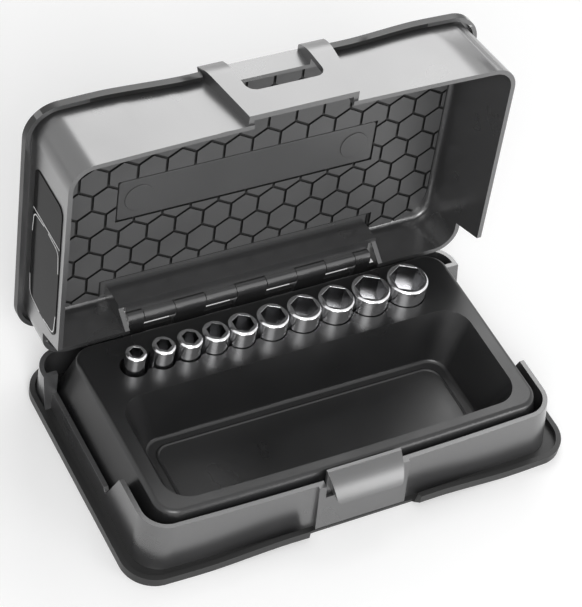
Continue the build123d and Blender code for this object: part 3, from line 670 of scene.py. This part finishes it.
class CASE_OT_sockets(bpy.types.Operator):
    """Ten chrome sockets in graded sizes, with painted shade inside their hexagons"""

    bl_idname = "case.sockets"
    bl_label = "Sockets"

    def execute(self, context):
        settings = context.scene.case_sockets
        chrome = surface_material(
            "polished_chrome",
            settings.colour,
            settings.roughness,
            spread=0.03,
            depth=0.003,
            shade=0.03,
            metallic=1.0,
        )
        # darker copy of the chrome for the walls inside the hexagon: painted shade
        bore = surface_material(
            "bore_painted_shade", settings.bore, 0.22, 0.05, depth=0.01, shade=0.1, metallic=1.0
        )
        for size in SOCKET_SIZES:
            node = f"socket_{size:g}mm".replace(".", "_")
            low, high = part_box(node)
            centre = (low + high) / 2
            shape = merged_copy(node)
            rim = self.mouth_rim(shape, centre, high.z)
            bevel_edges(shape, rim, min(settings.rim, size * RIM_SHARE * MM), 4)
            round_edges(shape, settings.edge)
            inside = size * MM / 2 * SHADED_BORE_REACH
            # faces inside the hexagon get the painted shade
            for face in shape.faces:
                middle = face.calc_center_median() - centre
                if math.hypot(middle.x, middle.y) < inside and abs(face.normal.z) < 0.3:
                    face.material_index = 1
            add_piece(
                shape, node + "_chrome", node, [chrome, bore], [node], sharper_than=40
            )
        return {"FINISHED"}

    @staticmethod
    def mouth_rim(shape, centre, top):
        """Outer edges of a socket's mouth."""
        outermost = max(math.hypot(v.co.x - centre.x, v.co.y - centre.y) for v in shape.verts)

        def at_rim(vert):
            reach = math.hypot(vert.co.x - centre.x, vert.co.y - centre.y)
            return vert.co.z > top - RIM_HEIGHT and reach > outermost - RIM_WIDTH

        return [
            edge
            for edge in shape.edges
            if all(at_rim(vert) for vert in edge.verts)
            and edge.calc_face_angle(0) > RIM_SHARPNESS
        ]


class CASE_OT_stage(bpy.types.Operator):
    """Pale floor, soft lamps and the camera"""

    bl_idname = "case.stage"
    bl_label = "Stage"

    def execute(self, context):
        settings = context.scene.case_stage
        self.floor(settings)
        self.world(context, settings)
        power = settings.key_light
        self.lamp("key_softbox", (-0.35, -0.75, 0.75), (0, 0, 0.04), 0.6, power)
        self.lamp("back_softbox", (0.5, 0.9, 0.85), (0, 0.05, 0.1), 0.8, power * 0.8)
        self.lamp("front_strip", (0.6, -0.85, 0.22), (0, 0, 0.03), 0.5, power * 0.5)
        self.camera(context, settings)
        return {"FINISHED"}

    @staticmethod
    def floor(settings):
        """Wide floor that keeps the case's shadow and is seen a little lighter than it lights."""
        paint = surface_material("pale_floor", settings.floor, 0.6, shade=0.01, depth=0.0, ior=1.3)
        tree = paint.node_tree
        seen = seen_directly(tree)
        lift = tree.nodes.new("ShaderNodeMath")
        lift.operation = "MULTIPLY"
        lift.inputs[1].default_value = settings.floor_lift
        shader = tree.nodes["Principled BSDF"]
        shader.inputs["Emission Color"].default_value = (1, 1, 1, 1)
        tree.links.new(seen, lift.inputs[0])
        tree.links.new(lift.outputs[0], shader.inputs["Emission Strength"])
        ground = bmesh.new()
        bmesh.ops.create_grid(ground, x_segments=1, y_segments=1, size=4)
        mesh = bpy.data.meshes.new("pale_floor")
        ground.to_mesh(mesh)
        ground.free()
        mesh.materials.append(paint)
        floor = bpy.data.objects.new("pale_floor", mesh)
        bpy.context.scene.collection.objects.link(floor)

    @staticmethod
    def world(context, settings):
        """White surroundings, whose light on the case is dimmer than what is seen of them."""
        world = bpy.data.worlds.new("plain_studio")
        context.scene.world = world
        world.use_nodes = True
        tree = world.node_tree
        light = tree.nodes["Background"]
        strength = tree.nodes.new("ShaderNodeMapRange")
        strength.inputs["To Min"].default_value = settings.daylight
        strength.inputs["To Max"].default_value = 1.0
        tree.links.new(seen_directly(tree), strength.inputs["Value"])
        tree.links.new(strength.outputs["Result"], light.inputs["Strength"])
        light.inputs["Color"].default_value = (1, 1, 1, 1)

    @staticmethod
    def lamp(name, place, target, size, power):
        """Square lamp at a place, aimed at a target, both in metres."""
        lamp = bpy.data.lights.new(name, "AREA")
        lamp.shape = "SQUARE"
        lamp.size = size
        lamp.energy = power
        holder = bpy.data.objects.new(name, lamp)
        aim = (Vector(target) - Vector(place)).to_track_quat("-Z", "Y")
        holder.matrix_world = Matrix.Translation(place) @ aim.to_matrix().to_4x4()
        bpy.context.scene.collection.objects.link(holder)

    @staticmethod
    def camera(context, settings):
        """Camera that looks down from the front left, turned a little about its own axis."""
        azimuth, elevation, roll = (math.radians(v) for v in CAMERA_ANGLES)
        back = Vector(
            (
                math.sin(azimuth) * math.cos(elevation),
                -math.cos(azimuth) * math.cos(elevation),
                math.sin(elevation),
            )
        )
        right = Vector((0, 0, 1)).cross(back).normalized()
        up = back.cross(right)
        turned_right = right * math.cos(roll) + up * math.sin(roll)
        turned_up = up * math.cos(roll) - right * math.sin(roll)
        eye = Vector(CAMERA_EYE) * MM
        data = bpy.data.cameras.new("camera")
        data.sensor_width = 36
        data.lens = settings.lens
        data.clip_start = 0.01
        camera = bpy.data.objects.new("camera", data)
        turn = Matrix((turned_right, turned_up, back)).transposed().to_4x4()
        camera.matrix_world = Matrix.Translation(eye) @ turn
        context.scene.collection.objects.link(camera)
        context.scene.camera = camera
        context.scene.view_settings.view_transform = "Standard"


OPERATORS = (
    CASE_OT_shells,
    CASE_OT_hinge_pin,
    CASE_OT_tray,
    CASE_OT_lining,
    CASE_OT_side_label,
    CASE_OT_sockets,
    CASE_OT_stage,
)


class CASE_PT_sidebar(bpy.types.Panel):
    """Sizes and colours of the case, and its operators"""

    bl_label = "Socket case"
    bl_idname = "CASE_PT_sidebar"
    bl_space_type = "VIEW_3D"
    bl_region_type = "UI"
    bl_category = "Socket case"

    def draw(self, context):
        for name, group in SETTINGS.items():
            box = self.layout.box()
            for entry in group.__annotations__:
                box.prop(getattr(context.scene, name), entry)
        for operator in OPERATORS:
            self.layout.operator(operator.bl_idname)


CLASSES = (*SETTINGS.values(), *OPERATORS, CASE_PT_sidebar)


def register():
    for entry in CLASSES:
        bpy.utils.register_class(entry)
    for name, group in SETTINGS.items():
        setattr(bpy.types.Scene, name, PointerProperty(type=group))


def unregister():
    for name in SETTINGS:
        delattr(bpy.types.Scene, name)
    for entry in reversed(CLASSES):
        bpy.utils.unregister_class(entry)


def main():
    register()
    for operator in OPERATORS:
        group, name = operator.bl_idname.split(".")
        getattr(getattr(bpy.ops, group), name)()


if __name__ == "__main__":
    main()
